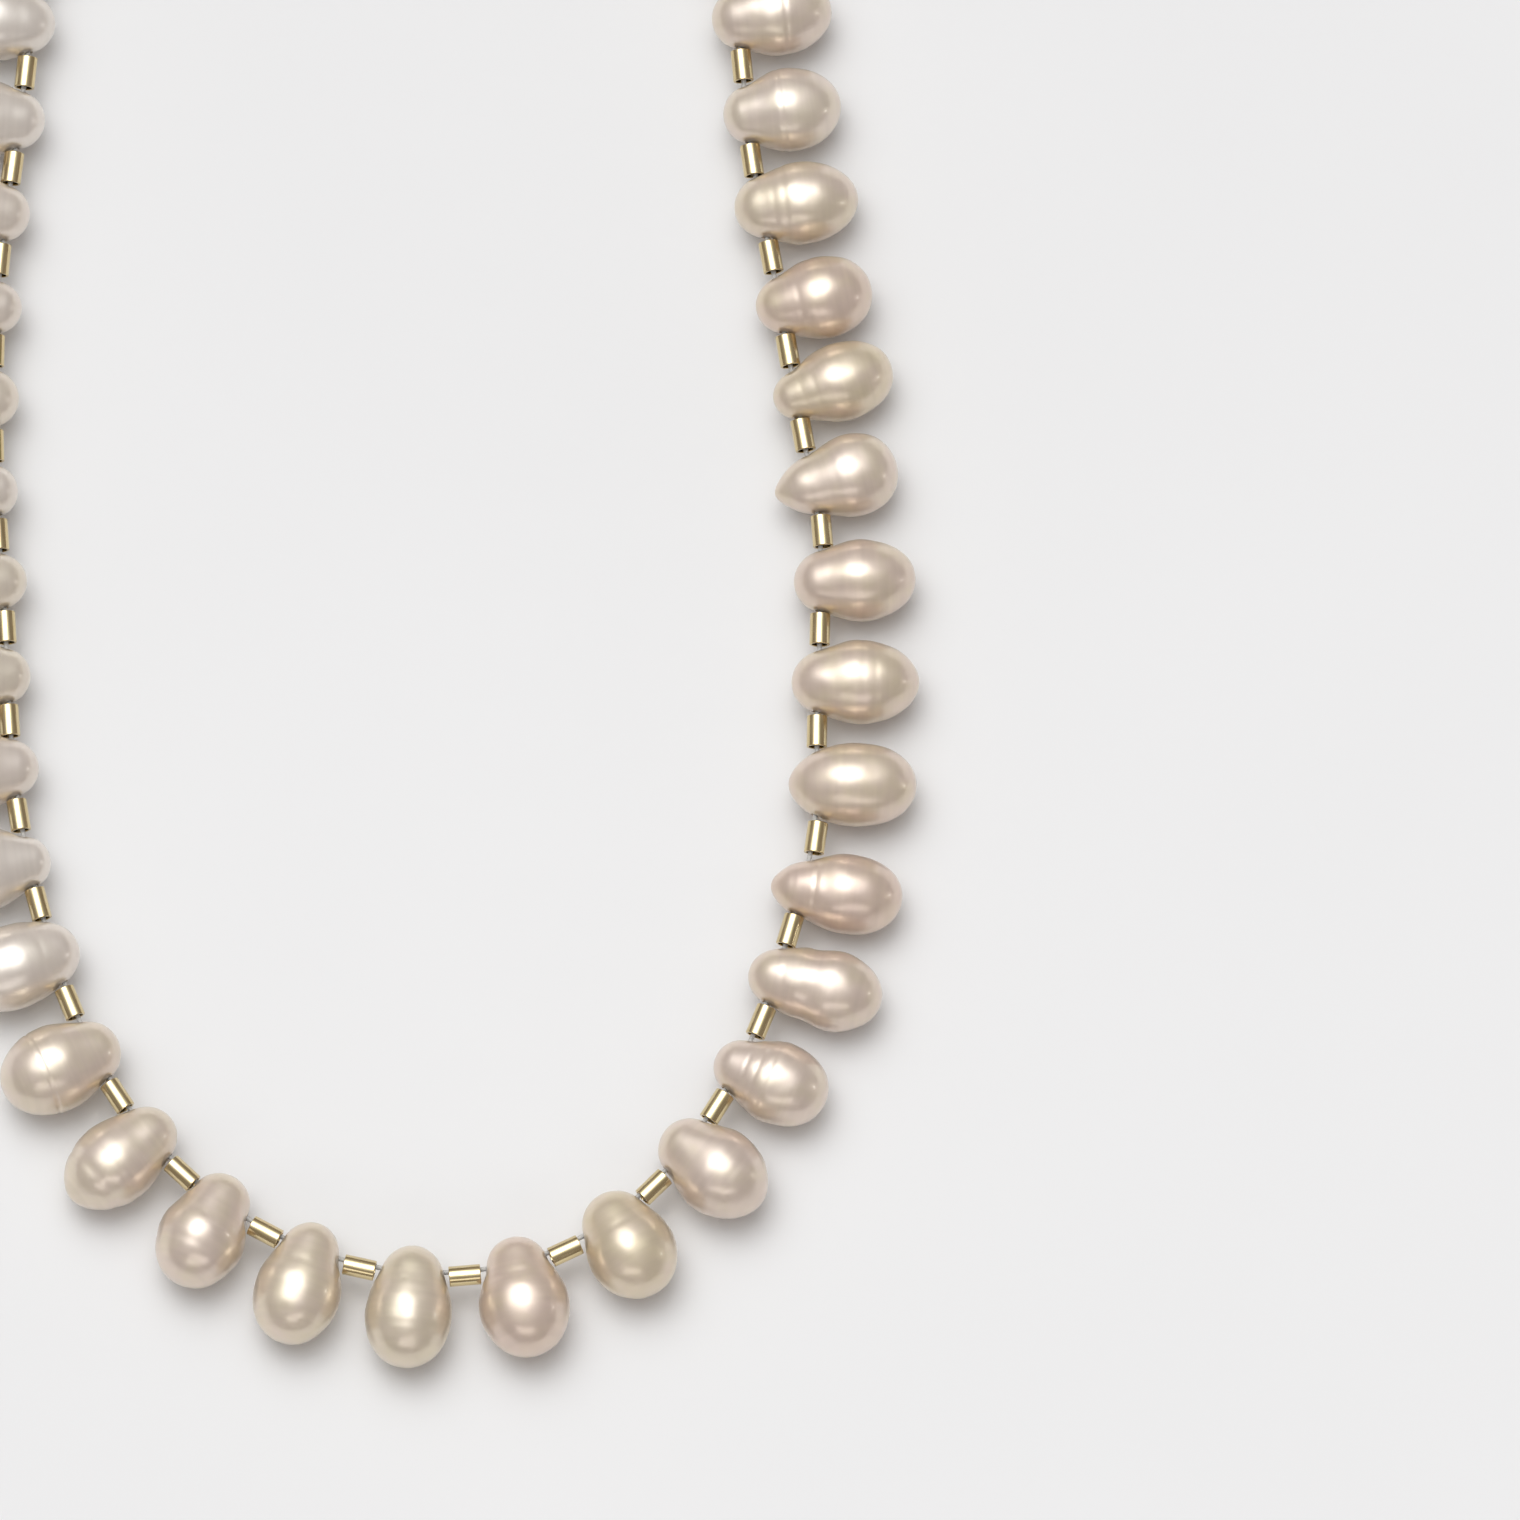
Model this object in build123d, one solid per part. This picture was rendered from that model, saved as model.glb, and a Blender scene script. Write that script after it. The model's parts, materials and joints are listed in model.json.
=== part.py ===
from build123d import *
from build123d import SkipClean
import os
from collections import namedtuple
from math import cos, exp, pi, radians, sin, tan

# A strand of rice pearls and gold tube beads on one thread, closed by a lobster clasp.
# The necklace lies flat on z = 0. Its front is towards -Y and its clasp towards +Y.
# Every length is in millimetres and every angle in degrees.

# ---------------------------------------------------------------- driving sizes
THREAD_HEIGHT = 4.2          # the drill holes above the surface that the pearls lie on
THREAD_RADIUS = 0.25
DRILL_RADIUS = 0.5           # hole through each pearl, near its inner end
TUBE_RADIUS = 1.02
TUBE_BORE_RADIUS = 0.78
TUBE_LENGTH = 3.15
TUBE_EDGE = 0.06             # softened rim of a tube bead
BEAD_GAP = 0.07              # least clearance between a tube bead and a pearl
FOLD_GAP = 0.30              # clearance where the strand folds

CLASP_CENTRE = Vector(-2.7, 94.5, 2.2)
CLASP_THICKNESS = 1.8
STRAND_END_ANGLE = 28        # how far each end of the strand turns back from the clasp's line
TIP_RADIUS = 1.4             # bead tip: a hollow gold cup that hides the crimped thread
TIP_WALL = 0.22
LOOP_RADIUS = 0.95           # centreline of the loop on each bead tip
LOOP_WIRE = 0.25
JUMP_RING_RADIUS = 1.7
JUMP_RING_WIRE = 0.3
END_RING_RADIUS = 2.0
END_RING_WIRE = 0.33
END_RING_X = 4.75            # centre of the end ring, hooked round the claw's nose
RING_LEAN = 22               # the rings lean over from the vertical
RING_PLAY = 0.1              # how far the jump ring sits off the middle of the eyelet
TIP_MOUTH_RADIUS = 0.5
CRIMP_RADIUS = 0.6
CRIMP_BORE_RADIUS = 0.28
CRIMP_LENGTH = 1.2

EYELET_X = -4.6              # centre of the clasp's eyelet, from the clasp's centre
EYELET_RADIUS = 1.4
EYELET_HOLE = 0.85
EYELET_THICKNESS = 0.9
HOOK_CENTRE_X = 1.6
HOOK_RADIUS = 3.0
HOOK_OPENING_X = 1.9
HOOK_OPENING_RADIUS = 1.75
TAIL_X = -3.0                # the clasp body tapers to this rounded tail
TAIL_RADIUS = 1.25
OPENING_TAIL_X = -0.9
OPENING_TAIL_RADIUS = 0.7
CLASP_EDGE = 0.25            # rounding of the clasp's outer edges
LEVER_PIVOT = Vector(-2.3, 0.75)
LEVER_REACH = 5.2            # the seam between lever and hook tip, from the pivot
LEVER_LOWEST = 0.2
LEVER_CLEARANCE = 0.08
LEVER_THICKNESS = 0.8
KNUCKLE_RADIUS = 0.7
TAB_X = -1.0
TAB_Y = 2.2
TAB_RADIUS = 0.55
SLOT_THICKNESS = 1.0
CHEEK_END_X = -1.2
POCKET_X = -3.15             # the slot's floor and back wall
POCKET_Y = -0.85
RIVET_RADIUS = 0.3
RIVET_HEAD = 0.12
RIVET_HEAD_RADIUS = 0.48
RIVET_CLEARANCE = 0.03
SPRING_LEAF = 0.1
SPRING_WIDTH = 0.7

# ---------------------------------------------------------------- the strand
# Centre of each tube bead, walked from the clasp down the right side, round the front
# and up the left side. Every pearl hangs between two neighbouring tube beads.
TUBE_PLACES = [
    (8.8, 91.9), (17.6, 86.7), (24.5, 79.2), (29.3, 70.5), (32.1, 61.0),
    (33.0, 51.1), (34.0, 41.3), (35.9, 31.3), (37.6, 21.6), (39.1, 12.9),
    (41.0, 3.0), (40.8, -7.1), (40.5, -17.6), (40.4, -28.5), (37.8, -38.0),
    (34.9, -47.3), (30.5, -56.0), (24.2, -64.2), (15.4, -70.7), (5.4, -73.2),
    (-5.1, -72.4), (-14.5, -68.8), (-22.8, -62.8), (-29.3, -54.9), (-34.1, -45.4),
    (-37.3, -35.3), (-39.3, -26.2), (-40.3, -16.5), (-40.7, -6.9), (-41.5, 2.6),
    (-42.0, 11.8), (-42.0, 21.6), (-41.5, 31.0), (-40.3, 40.5), (-39.0, 50.4),
    (-38.1, 60.6), (-35.3, 70.2), (-30.5, 79.0), (-23.9, 86.5), (-15.6, 91.9),
]
# Only next to the clasp does the thread come down, to the height of the clasp.
END_HEIGHTS = {0: 2.9, 1: 4.0, 38: 4.0, 39: 2.9}

# length and width: the pearl's size. hole: from its inner end to the drill hole.
# egg: how much wider its outer half is. lean: its long axis from square to the thread,
# seen from above, anticlockwise. waist: how deep it pinches in its middle.
# inner_tip, outer_tip: how pointed each end is.
Pearl = namedtuple("Pearl", "length width hole egg lean waist inner_tip outer_tip",
                   defaults=(2.8, 0.06, 0, 0, 0, 0))
PEARLS = [
    Pearl(12.2, 8.2), Pearl(12.6, 8.4, lean=3), Pearl(12.0, 8.2, egg=0.02),
    Pearl(12.7, 8.3, lean=-4), Pearl(12.1, 8.2, 2.6, 0.02, 2), Pearl(11.9, 8.3, 2.4, 0.02, 2),
    Pearl(12.5, 8.2, 2.7, 0.02, -4, outer_tip=0.1), Pearl(11.8, 8.3, 2.4, 0.10, 2),
    Pearl(12.4, 7.9, 2.3, 0.12, 9), Pearl(12.6, 8.2, 3.9, 0.24, 4, inner_tip=0.35),
    Pearl(12.2, 8.2, 2.7, 0.02, 4), Pearl(12.8, 8.3, 2.7, 0.02, 2, outer_tip=0.08),
    Pearl(12.8, 8.3, 2.8, 0.06, inner_tip=0.15), Pearl(13.2, 8.0, 3.1, 0.10, 9, inner_tip=0.3),
    Pearl(13.6, 8.0, 2.7, 0.06, 4, 0.07), Pearl(11.9, 8.2, 2.4, 0.08, 4),
    Pearl(12.2, 8.8, 2.6, outer_tip=0.2), Pearl(11.4, 8.8, 2.5, lean=-7),
    Pearl(12.3, 8.9, 2.6, 0.08, -4), Pearl(12.4, 8.6, 2.6, 0.08, -1),
    Pearl(12.6, 8.6, 2.7, 0.10, 4), Pearl(12.2, 8.8, 2.7, lean=9),
    Pearl(12.9, 8.4, 2.7, 0.05, outer_tip=0.25), Pearl(12.6, 8.8, 2.6, 0.04, -2),
    Pearl(13.0, 8.6, 2.6, 0.02, 2), Pearl(12.4, 8.4, 2.2, lean=-4),
    Pearl(12.6, 8.3, 2.5), Pearl(12.0, 8.4, 2.3, lean=-2), Pearl(12.8, 8.2, 2.5),
    Pearl(12.2, 8.3, 2.2, lean=3), Pearl(12.5, 8.4, 2.5), Pearl(12.9, 8.2, 2.5, lean=-3),
    Pearl(12.1, 8.3, 2.4), Pearl(12.6, 8.5, 2.6, lean=4), Pearl(12.3, 8.3, 2.5),
    Pearl(12.8, 8.4, 2.6, lean=-3), Pearl(12.2, 8.2), Pearl(12.6, 8.4, lean=3),
    Pearl(12.0, 8.2, 2.5),
]
PROFILE_POWER = 2.08         # 2 makes an ellipse; more makes blunter ends
PROFILE_STEPS = 14
FINE_STEPS = 90              # outline steps for working out how a pearl sits
TIP_REACH = 0.10             # share of the length that a pointed end takes up
WAIST_REACH = 0.17
NECK_REACH = 0.15            # each pearl narrows a little where its tube beads press on it,
NECK_OFFSET = 0.7            # most of all this far outside its drill hole
MOST_NECK = 0.34

# The strand folds across both sides at once, at the tube beads listed here by place:
# (right side, left side), from the front to the clasp.
FOLDS = [(15, 24), (13, 26), (11, 28), (9, 30), (7, 32), (5, 34), (3, 36)]
SECTION_NAMES = ["front"] + [f"side_{i}" for i in range(1, len(FOLDS))] + ["back"]


def tube_centre(index):
    """Centre of a tube bead in space."""
    x, y = TUBE_PLACES[index]
    return Vector(x, y, END_HEIGHTS.get(index, THREAD_HEIGHT))


def clasp_line(x, y=0.0):
    """A point of the clasp's own line, from its x and y along and across the clasp."""
    return CLASP_CENTRE + Vector(x, y, 0)


LEFT_LOOP = clasp_line(EYELET_X - RING_PLAY - 2 * JUMP_RING_RADIUS)
RIGHT_LOOP = clasp_line(END_RING_X + END_RING_RADIUS)
TIP_TO_LOOP = LOOP_RADIUS + TIP_RADIUS - 0.1


def strand_end(loop, angle):
    """Centre of the bead tip on a loop, with the strand leaving at the given angle."""
    away = Vector(cos(radians(angle)), sin(radians(angle)), 0)
    return loop + away * TIP_TO_LOOP


RIGHT_TIP = strand_end(RIGHT_LOOP, -STRAND_END_ANGLE)
LEFT_TIP = strand_end(LEFT_LOOP, 180 + STRAND_END_ANGLE)

CENTRES = [tube_centre(i) for i in range(len(TUBE_PLACES))]
ROUTE = [RIGHT_TIP] + CENTRES + [LEFT_TIP]


def tube_direction(index):
    """A tube bead splits the turn between the two pearls beside it."""
    before, here, after = ROUTE[index], ROUTE[index + 1], ROUTE[index + 2]
    return ((here - before).normalized() + (after - here).normalized()).normalized()


# ---------------------------------------------------------------- pearls
def half_width(pearl, neck, share):
    """Half-width of a pearl at a share of its length, from its inner to its outer end."""
    along = 2 * share - 1
    plain = max(0.0, 1 - abs(along) ** PROFILE_POWER) ** (1 / PROFILE_POWER)
    egg = 1 + pearl.egg * along
    waist = 1 - pearl.waist * exp(-((share - 0.5) / WAIST_REACH) ** 2)
    neck_share = (pearl.hole + NECK_OFFSET) / pearl.length
    necked = 1 - neck * exp(-((share - neck_share) / NECK_REACH) ** 2)
    inner = 1 - pearl.inner_tip * exp(-share / TIP_REACH)
    outer = 1 - pearl.outer_tip * exp(-(1 - share) / TIP_REACH)
    return plain * egg * waist * necked * inner * outer


def outline(pearl, neck, steps):
    """Points (distance from the inner end, half-width), closer together near the ends."""
    shares = [(1 - cos(pi * i / steps)) / 2 for i in range(steps + 1)]
    widths = [half_width(pearl, neck, share) for share in shares]
    scale = pearl.width / 2 / max(widths)
    return [(share * pearl.length, width * scale) for share, width in zip(shares, widths)]


def room_beside(pearl, neck, faces, along, out):
    """Least distance along the thread from each tube bead to the pearl, however the pearl swings."""
    lean = radians(pearl.lean)
    axis = out * cos(lean) - along * sin(lean)
    across = along * cos(lean) + out * sin(lean)
    rooms = []
    for face, direction, side in faces:
        slant = sin(radians(along.get_angle(direction)))
        rim = side * face.dot(along) - TUBE_RADIUS * slant
        reach = 0
        for distance, width in outline(pearl, neck, FINE_STEPS):
            offset = axis * (distance - pearl.hole) + across * (side * width)
            if abs(offset.dot(out)) <= TUBE_RADIUS:
                reach = max(reach, side * offset.dot(along))
        rooms.append(rim - reach)
    return rooms


def solve(function, low, high, rounds=24):
    """The place where a rising function crosses zero, held between two limits."""
    for _ in range(rounds):
        middle = (low + high) / 2
        if function(middle) < 0:
            low = middle
        else:
            high = middle
    return high


Seat = namedtuple("Seat", "hole_point along up axis neck")


def seat_pearl(index):
    """Work out how pearl number index hangs between its two tube beads."""
    pearl = PEARLS[index]
    start, end = CENTRES[index], CENTRES[index + 1]
    along = (end - start).normalized()
    out = Vector(-along.Y, along.X, 0).normalized()
    up = along.cross(out)
    middle = (start + end) * 0.5
    first, last = tube_direction(index), tube_direction(index + 1)
    faces = [(start + first * (TUBE_LENGTH / 2) - middle, first, -1),
             (end - last * (TUBE_LENGTH / 2) - middle, last, 1)]
    wanted = [FOLD_GAP if index in [right for right, left in FOLDS] else BEAD_GAP,
              FOLD_GAP if index + 1 in [left for right, left in FOLDS] else BEAD_GAP]

    def spare(neck):
        return sum(room_beside(pearl, neck, faces, along, out)) - sum(wanted)

    neck = solve(spare, 0, MOST_NECK)
    rooms = room_beside(pearl, neck, faces, along, out)
    hole_point = middle + along * ((rooms[1] - wanted[1]) - (rooms[0] - wanted[0])) / 2
    fine = outline(pearl, neck, FINE_STEPS)

    def lowest(tilt):
        return min(hole_point.Z + (distance - pearl.hole) * sin(tilt) - width * cos(tilt)
                   for distance, width in fine)

    tilt = solve(lowest, radians(-20), radians(25))
    lean = radians(pearl.lean)
    axis = (out * cos(tilt) + up * sin(tilt)) * cos(lean) - along * sin(lean)
    return Seat(hole_point, along, up, axis, neck)


def build_pearl(index):
    """A drilled pearl, a little off round, lying on the surface."""
    pearl, seat = PEARLS[index], seat_pearl(index)
    profile = Spline(*outline(pearl, seat.neck, PROFILE_STEPS), tangents=[(0, 1), (0, -1)],
                     tangent_scalars=[1, 1])
    core = Line(profile @ 1, profile @ 0)
    half = revolve(make_face(Wire([profile, core])), Axis.X, 180)
    place = Plane(origin=seat.hole_point - seat.axis * pearl.hole, x_dir=seat.axis,
                  z_dir=seat.axis.cross(seat.up))
    drill = Plane(origin=seat.hole_point, z_dir=seat.along) * Cylinder(DRILL_RADIUS, 2 * pearl.width)
    # The skin stays in two halves: cleaned into one face, it would lose the seam that STEP needs.
    with SkipClean():
        return place * (half + Rot(X=180) * half) - drill


# ---------------------------------------------------------------- tube beads and thread
def build_tube(index):
    """A plain gold tube bead with a softened rim."""
    tube = Cylinder(TUBE_RADIUS, TUBE_LENGTH) - Cylinder(TUBE_BORE_RADIUS, TUBE_LENGTH)
    rims = tube.edges().filter_by(GeomType.CIRCLE)
    tube = fillet(rims.filter_by(lambda edge: edge.radius > TUBE_BORE_RADIUS), TUBE_EDGE)
    return Plane(origin=CENTRES[index], z_dir=tube_direction(index)) * tube


def section_of_tube(index):
    """Which section of the strand a tube bead belongs to; 0 is the front."""
    section = 0
    for right, left in FOLDS:
        if index <= right or index >= left:
            section += 1
    return section


def section_of_pearl(index):
    """Which section of the strand a pearl belongs to; 0 is the front."""
    section = 0
    for right, left in FOLDS:
        if index < right or index >= left:
            section += 1
    return section


def fold_point(index, side):
    """Middle of the gap between a tube bead and the pearl on its front side."""
    return CENTRES[index] + tube_direction(index) * side * (TUBE_LENGTH / 2 + FOLD_GAP / 2)


def build_thread():
    """One thread from bead tip to bead tip, with arcs as large as the beads leave room for."""
    runs = [(b - a) for a, b in zip(ROUTE, ROUTE[1:])]
    radii = []
    for before, after in zip(runs, runs[1:]):
        turn = radians(before.get_angle(after))
        radii.append(0.45 * min(before.length, after.length) / tan(turn / 2))
    path = FilletPolyline(*ROUTE, radius=radii)
    section = Plane(origin=path @ 0, z_dir=path % 0) * Circle(THREAD_RADIUS)
    thread = sweep(section, path=path)
    expected = pi * THREAD_RADIUS ** 2 * path.length
    print(f"thread length {path.length:.1f}, volume ratio {thread.volume / expected:.4f}")
    print(f"thread arc radii from {min(radii):.0f} to {max(radii):.0f}")
    return thread


# ---------------------------------------------------------------- clasp and strand ends
def build_bead_tip(centre, loop, first_bead):
    """A hollow cup over the crimped end of the thread, with a flat loop."""
    hollow = Pos(*centre) * Sphere(TIP_RADIUS - TIP_WALL)
    mouth = Plane(origin=centre, z_dir=first_bead - centre)
    mouth_hole = mouth * Pos(0, 0, TIP_RADIUS) * Cylinder(TIP_MOUTH_RADIUS, TIP_RADIUS)
    ring = Pos(*loop) * Torus(LOOP_RADIUS, LOOP_WIRE)
    return Pos(*centre) * Sphere(TIP_RADIUS) + ring - hollow - mouth_hole


def build_crimp(centre, first_bead):
    """A short crimp tube round the end of the thread, inside the bead tip."""
    crimp = Cylinder(CRIMP_RADIUS, CRIMP_LENGTH) - Cylinder(CRIMP_BORE_RADIUS, CRIMP_LENGTH)
    return Plane(origin=centre, z_dir=first_bead - centre) * Pos(0, 0, CRIMP_LENGTH / 4) * crimp


def build_ring(centre, radius, wire):
    """A closed wire ring that stands across the clasp's flat parts, leaning over."""
    return Pos(*centre) * Rot(90 + RING_LEAN, 0, 0) * Torus(radius, wire)


def teardrop(head_x, head_radius, tail_x, tail_radius):
    """Outline of a rounded shape that tapers from head to tail."""
    head = Pos(head_x, 0) * Circle(head_radius)
    tail = Pos(tail_x, 0) * Circle(tail_radius)
    return make_hull(head.edges() + tail.edges())


def thick(sketch, thickness):
    """A flat outline, thickened equally above and below the clasp's middle plane."""
    return extrude(sketch, thickness / 2, both=True)


def clasp_wall():
    """Seen from above, the closed claw: body and lever together."""
    outer = teardrop(HOOK_CENTRE_X, HOOK_RADIUS, TAIL_X, TAIL_RADIUS)
    opening = teardrop(HOOK_OPENING_X, HOOK_OPENING_RADIUS, OPENING_TAIL_X, OPENING_TAIL_RADIUS)
    return outer - opening


def lever_sector(radius, lowest_y):
    """The part of the claw that the lever fills, out to a radius about its pivot."""
    swept = Pos(LEVER_PIVOT.X, LEVER_PIVOT.Y) * Circle(radius)
    upper = Pos(LEVER_PIVOT.X, lowest_y) * Rectangle(20, 20, align=(Align.MIN, Align.MIN))
    return swept & upper


def build_clasp_body():
    """Claw body with an eyelet, a slot for the lever and two cheeks that hold the rivet."""
    body = thick(clasp_wall(), CLASP_THICKNESS)
    body = fillet(body.edges().filter_by(Plane.XY), CLASP_EDGE)
    eyelet = Pos(EYELET_X, 0) * Cylinder(EYELET_RADIUS, EYELET_THICKNESS)
    body = body + fillet(eyelet.edges().filter_by(GeomType.CIRCLE), CLASP_EDGE)
    body = body - Pos(EYELET_X, 0) * Cylinder(EYELET_HOLE, CLASP_THICKNESS)
    gap = lever_sector(LEVER_REACH, LEVER_LOWEST)
    in_front = Pos(CHEEK_END_X, 0) * Rectangle(20, 20, align=(Align.MIN, Align.CENTER))
    body = body - thick(gap & in_front, 2 * CLASP_THICKNESS)
    pocket = Pos(POCKET_X, POCKET_Y) * Rectangle(-POCKET_X, 20, align=(Align.MIN, Align.MIN))
    body = body - thick(pocket, SLOT_THICKNESS)
    rivet_hole = Pos(LEVER_PIVOT.X, LEVER_PIVOT.Y) * Cylinder(RIVET_RADIUS, CLASP_THICKNESS)
    return body - rivet_hole


def build_clasp_lever():
    """The lever that closes the claw, with a thumb tab beside its pivot."""
    bar = clasp_wall() & lever_sector(LEVER_REACH - LEVER_CLEARANCE, LEVER_LOWEST + LEVER_CLEARANCE)
    knuckle = Pos(LEVER_PIVOT.X, LEVER_PIVOT.Y) * Circle(KNUCKLE_RADIUS)
    tab = Pos(TAB_X, TAB_Y) * Circle(TAB_RADIUS)
    lever = thick(bar + knuckle + tab, LEVER_THICKNESS)
    hole = Pos(LEVER_PIVOT.X, LEVER_PIVOT.Y)
    return lever - hole * Cylinder(RIVET_RADIUS + RIVET_CLEARANCE, CLASP_THICKNESS)


def build_clasp_rivet():
    """The lever's pin, with a low head on each cheek."""
    pin = Cylinder(RIVET_RADIUS, CLASP_THICKNESS)
    for side in (-1, 1):
        pin = pin + Pos(0, 0, side * (CLASP_THICKNESS + RIVET_HEAD) / 2) * Cylinder(
            RIVET_HEAD_RADIUS, RIVET_HEAD)
    return Pos(LEVER_PIVOT.X, LEVER_PIVOT.Y) * pin


def build_clasp_spring():
    """A bent leaf in the slot that pushes the lever shut."""
    leaf = Spline((-2.98, -0.62), (-2.2, -0.42), (-1.65, 0.02), (-1.3, 0.42))
    return thick(trace(leaf, SPRING_LEAF), SPRING_WIDTH)


# ---------------------------------------------------------------- the whole necklace
def build_necklace():
    """Every node's shape, by name."""
    nodes = {f"pearl_{i + 1:02d}": build_pearl(i) for i in range(len(PEARLS))}
    for section, name in enumerate(SECTION_NAMES):
        beads = [build_tube(i) for i in range(len(CENTRES)) if section_of_tube(i) == section]
        nodes[f"tube_beads_{name}"] = Compound(beads)
    nodes["thread"] = build_thread()
    nodes["bead_tip_right"] = build_bead_tip(RIGHT_TIP, RIGHT_LOOP, CENTRES[0])
    nodes["bead_tip_left"] = build_bead_tip(LEFT_TIP, LEFT_LOOP, CENTRES[-1])
    crimps = [build_crimp(RIGHT_TIP, CENTRES[0]), build_crimp(LEFT_TIP, CENTRES[-1])]
    nodes["crimp_tubes"] = Compound(crimps)
    jump_ring_centre = (LEFT_LOOP + clasp_line(EYELET_X - RING_PLAY)) * 0.5
    end_ring_centre = RIGHT_LOOP - Vector(END_RING_RADIUS, 0, 0)
    nodes["jump_ring"] = build_ring(jump_ring_centre, JUMP_RING_RADIUS, JUMP_RING_WIRE)
    nodes["end_ring"] = build_ring(end_ring_centre, END_RING_RADIUS, END_RING_WIRE)
    on_line = Pos(*CLASP_CENTRE)
    nodes["clasp_body"] = on_line * build_clasp_body()
    nodes["clasp_lever"] = on_line * build_clasp_lever()
    nodes["clasp_rivet"] = on_line * build_clasp_rivet()
    nodes["clasp_spring"] = on_line * build_clasp_spring()
    return nodes


def centring_shift(shapes):
    """The move that puts the middle of the necklace's underside on the origin."""
    boxes = [shape.bounding_box() for shape in shapes]
    low_x, high_x = min(box.min.X for box in boxes), max(box.max.X for box in boxes)
    low_y, high_y = min(box.min.Y for box in boxes), max(box.max.Y for box in boxes)
    return Vector(-(low_x + high_x) / 2, -(low_y + high_y) / 2, -min(box.min.Z for box in boxes))


NECKLACE = build_necklace()
SHIFT = centring_shift(NECKLACE.values())
os.makedirs("parts", exist_ok=True)
for name, shape in NECKLACE.items():
    export_step(Pos(*SHIFT) * shape, f"parts/{name}.step")
print("nodes:", len(NECKLACE))
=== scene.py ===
import json
import math
import random

import bmesh
import bpy
import numpy as np
from mathutils import Matrix, Vector, noise


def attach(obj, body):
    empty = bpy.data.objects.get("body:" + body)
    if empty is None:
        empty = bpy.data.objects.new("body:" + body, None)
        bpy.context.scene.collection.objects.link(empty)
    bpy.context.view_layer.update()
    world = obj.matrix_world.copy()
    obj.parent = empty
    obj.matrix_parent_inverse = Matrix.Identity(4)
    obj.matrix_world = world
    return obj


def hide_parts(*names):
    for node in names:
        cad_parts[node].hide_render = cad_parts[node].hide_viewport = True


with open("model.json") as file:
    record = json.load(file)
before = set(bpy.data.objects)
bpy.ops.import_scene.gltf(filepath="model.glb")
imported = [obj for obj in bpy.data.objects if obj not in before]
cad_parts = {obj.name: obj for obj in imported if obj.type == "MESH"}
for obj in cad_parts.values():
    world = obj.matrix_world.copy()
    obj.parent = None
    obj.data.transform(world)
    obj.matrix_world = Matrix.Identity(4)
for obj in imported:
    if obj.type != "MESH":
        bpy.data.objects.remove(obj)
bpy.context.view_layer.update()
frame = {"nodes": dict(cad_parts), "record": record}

# The looks of a strand of rice pearls and gold tube beads. Everything is in metres, in the
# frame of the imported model. Places come from the model's nodes and joints.

MM = 0.001
NODES = frame["nodes"]
JOINTS = {joint["name"]: joint for joint in frame["record"]["behaviour"]["joints"]}
NODE_BODY = {node: body for body, nodes in frame["record"]["behaviour"]["bodies"].items()
             for node in nodes}
PEARL_NODES = sorted(name for name in NODES if name.startswith("pearl_"))
TUBE_NODES = sorted(name for name in NODES if name.startswith("tube_beads_"))
GOLD_NODES = ["bead_tip_left", "bead_tip_right", "crimp_tubes", "jump_ring", "end_ring",
              "clasp_body", "clasp_lever", "clasp_rivet"]
FOLD_JOINTS = sorted(name for name in JOINTS if name.startswith("fold_"))

# ---------------------------------------------------------------- sizes
RINGS = 96                   # a pearl's mesh: rings along it and corners round it
CORNERS = 80
PROFILE_BINS = 44
DRILL_RADIUS = 0.5 * MM
DRILL_CORNERS = 32
DRILL_LENGTH = 14 * MM        # longer than any pearl is wide
HOLE_MARGIN = 1.04           # times the drill radius: nearer points are the hole, not outline
OVALITY = 0.012              # a pearl is a little wider one way than the other
WAVINESS = 0.11 * MM         # how far a pearl strays from its ideal outline
PEEL = 0.006 * MM            # finer unevenness of the nacre
CALM_NEAR_HOLE = 1.4 * MM    # the unevenness fades out where the tube beads sit
CALM_REACH = 2.0 * MM
BESIDE_TUBE = 1.05 * MM      # a pearl is narrow only within this distance of its drill hole
FULL_REACH = 0.9 * MM
FLOOR_CLEARANCE = 0.01 * MM
WELD = 0.002 * MM            # model points on one cell of this size are one point

TUBE_RADIUS = 1.02 * MM
TUBE_BORE = 0.78 * MM
TUBE_HALF = 1.575 * MM
TUBE_EDGE = 0.06 * MM
TUBE_CORNERS = 48
TUBE_DENT = 0.006 * MM       # unevenness of a tube bead's outside

THREAD_RADIUS = 0.25 * MM
THREAD_STEP = 0.16 * MM
THREAD_CORNERS = 15
PLIES = 3
PLY_TWIST = 1.7 * MM         # thread length for one turn of its plies
PLY_DEPTH = 0.13             # depth of the grooves between plies, as a share of the radius

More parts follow.
